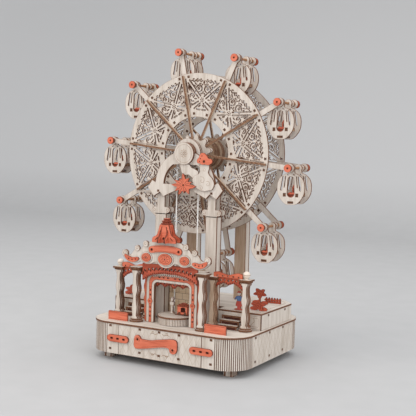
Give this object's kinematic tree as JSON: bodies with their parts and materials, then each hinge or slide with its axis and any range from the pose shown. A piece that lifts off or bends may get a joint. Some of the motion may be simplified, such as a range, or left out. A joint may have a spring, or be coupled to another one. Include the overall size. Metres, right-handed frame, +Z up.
{
  "type": "wooden ferris wheel model",
  "caption": "Laser-cut plywood ferris wheel model on a box base, with hanging gondolas, a filigree wheel, a columned gate, a turning stage, a belt drive and a hand crank.",
  "frame": {"origin": "middle of the bounding box's footprint on the surface that the feet stand on", "axes": "+Z up, the gate and the coral banner face -Y, +X to the right seen from the front, the wheel turns about the Y direction"},
  "size_m": [0.283, 0.1928, 0.3775],
  "materials": {
    "birch": "raw laser-cut birch plywood",
    "burnt_birch": "plywood on edge, browned by the laser",
    "coral_ply": "coral painted plywood, matt",
    "dowel": "dark stained dowel and discs",
    "belt_cord": "white round elastic belt",
    "printed_ply": "plywood printed in plain blue and red"
  },
  "bodies": {
    "stand": {"base_walls": "birch", "front_panel": "birch", "deck": "birch", "platform": "birch", "stairs_left": "birch", "stairs_right": "birch", "tower_front_left": "birch", "tower_front_right": "birch", "tower_rear_left": "birch", "tower_rear_right": "birch", "bracket_front": "birch", "bracket_rear": "birch", "bracket_bell": "birch", "column_front_left": "birch", "column_front_right": "birch", "side_gate_left": "birch", "side_gate_right": "birch", "gate_arch": "birch", "pediment": "birch", "room_wall": "birch", "room_ceiling": "birch", "bearing_front": "birch", "bearing_rear": "birch", "base_floor": "burnt_birch", "joint_plate_left": "coral_ply", "joint_plate_right": "coral_ply", "front_banner": "coral_ply", "bracket_flower": "coral_ply", "arch_overlay": "coral_ply", "roof_bell": "coral_ply", "gate_valance": "coral_ply", "drive_belt": "belt_cord", "standee": "printed_ply"},
    "wheel": {"disc_front": "birch", "disc_back": "birch", "spokes_front": "burnt_birch", "spokes_back": "burnt_birch", "hub_drum": "dowel", "main_axle": "dowel", "wheel_pulley": "birch"},
    "gondola_body_01": {"gondola_01": "birch"},
    "gondola_body_02": {"gondola_02": "birch"},
    "gondola_body_03": {"gondola_03": "birch"},
    "gondola_body_04": {"gondola_04": "birch"},
    "gondola_body_05": {"gondola_05": "birch"},
    "gondola_body_06": {"gondola_06": "birch"},
    "gondola_body_07": {"gondola_07": "birch"},
    "gondola_body_08": {"gondola_08": "birch"},
    "gondola_body_09": {"gondola_09": "birch"},
    "gondola_body_10": {"gondola_10": "birch"},
    "drive": {"drive_shaft": "dowel", "drive_pulley": "birch", "drive_gear": "birch"},
    "crank": {"crank_shaft": "dowel", "crank_arm": "birch"},
    "knob": {"crank_knob": "coral_ply"},
    "stage": {"stage_table": "birch", "stage_shaft": "dowel", "stage_cart": "coral_ply", "stage_figure": "birch"}
  },
  "joints": [
    {"name": "wheel_spin", "type": "hinge", "parent": "stand", "child": "wheel", "pos_m": [0, 0.0038, 0.25], "axis": [0, 1, 0], "continuous": true},
    {"name": "gondola_01_hang", "type": "hinge", "parent": "wheel", "child": "gondola_body_01", "pos_m": [0.12426, 0.0038, 0.23639], "axis": [0, 1, 0], "continuous": true},
    {"name": "gondola_02_hang", "type": "hinge", "parent": "wheel", "child": "gondola_body_02", "pos_m": [0.10852, 0.0038, 0.31203], "axis": [0, 1, 0], "continuous": true},
    {"name": "gondola_03_hang", "type": "hinge", "parent": "wheel", "child": "gondola_body_03", "pos_m": [0.05134, 0.0038, 0.36397], "axis": [0, 1, 0], "continuous": true},
    {"name": "gondola_04_hang", "type": "hinge", "parent": "wheel", "child": "gondola_body_04", "pos_m": [-0.02545, 0.0038, 0.37238], "axis": [0, 1, 0], "continuous": true},
    {"name": "gondola_05_hang", "type": "hinge", "parent": "wheel", "child": "gondola_body_05", "pos_m": [-0.09253, 0.0038, 0.33405], "axis": [0, 1, 0], "continuous": true},
    {"name": "gondola_06_hang", "type": "hinge", "parent": "wheel", "child": "gondola_body_06", "pos_m": [-0.12426, 0.0038, 0.26361], "axis": [0, 1, 0], "continuous": true},
    {"name": "gondola_07_hang", "type": "hinge", "parent": "wheel", "child": "gondola_body_07", "pos_m": [-0.10852, 0.0038, 0.18797], "axis": [0, 1, 0], "continuous": true},
    {"name": "gondola_08_hang", "type": "hinge", "parent": "wheel", "child": "gondola_body_08", "pos_m": [-0.05134, 0.0038, 0.13603], "axis": [0, 1, 0], "continuous": true},
    {"name": "gondola_09_hang", "type": "hinge", "parent": "wheel", "child": "gondola_body_09", "pos_m": [0.02545, 0.0038, 0.12762], "axis": [0, 1, 0], "continuous": true},
    {"name": "gondola_10_hang", "type": "hinge", "parent": "wheel", "child": "gondola_body_10", "pos_m": [0.09253, 0.0038, 0.16595], "axis": [0, 1, 0], "continuous": true},
    {"name": "drive_spin", "type": "hinge", "parent": "stand", "child": "drive", "pos_m": [0, -0.0372, 0.028], "axis": [0, 1, 0], "continuous": true},
    {"name": "crank_turn", "type": "hinge", "parent": "stand", "child": "crank", "pos_m": [0.0193, 0.0813, 0.028], "axis": [0, 1, 0], "continuous": true},
    {"name": "knob_spin", "type": "hinge", "parent": "crank", "child": "knob", "pos_m": [0.0193, 0.09, 0.044], "axis": [0, 1, 0], "continuous": true},
    {"name": "stage_turn", "type": "hinge", "parent": "stand", "child": "stage", "pos_m": [0, -0.0564, 0.0473], "axis": [0, 0, 1], "continuous": true}
  ],
  "couplings": [
    {"joint": "gondola_01_hang", "follows": "wheel_spin", "ratio": -1},
    {"joint": "gondola_02_hang", "follows": "wheel_spin", "ratio": -1},
    {"joint": "gondola_03_hang", "follows": "wheel_spin", "ratio": -1},
    {"joint": "gondola_04_hang", "follows": "wheel_spin", "ratio": -1},
    {"joint": "gondola_05_hang", "follows": "wheel_spin", "ratio": -1},
    {"joint": "gondola_06_hang", "follows": "wheel_spin", "ratio": -1},
    {"joint": "gondola_07_hang", "follows": "wheel_spin", "ratio": -1},
    {"joint": "gondola_08_hang", "follows": "wheel_spin", "ratio": -1},
    {"joint": "gondola_09_hang", "follows": "wheel_spin", "ratio": -1},
    {"joint": "gondola_10_hang", "follows": "wheel_spin", "ratio": -1},
    {"joint": "drive_spin", "follows": "wheel_spin", "ratio": 1},
    {"joint": "crank_turn", "follows": "wheel_spin", "ratio": -2.8},
    {"joint": "stage_turn", "follows": "wheel_spin", "ratio": -0.88889}
  ]
}
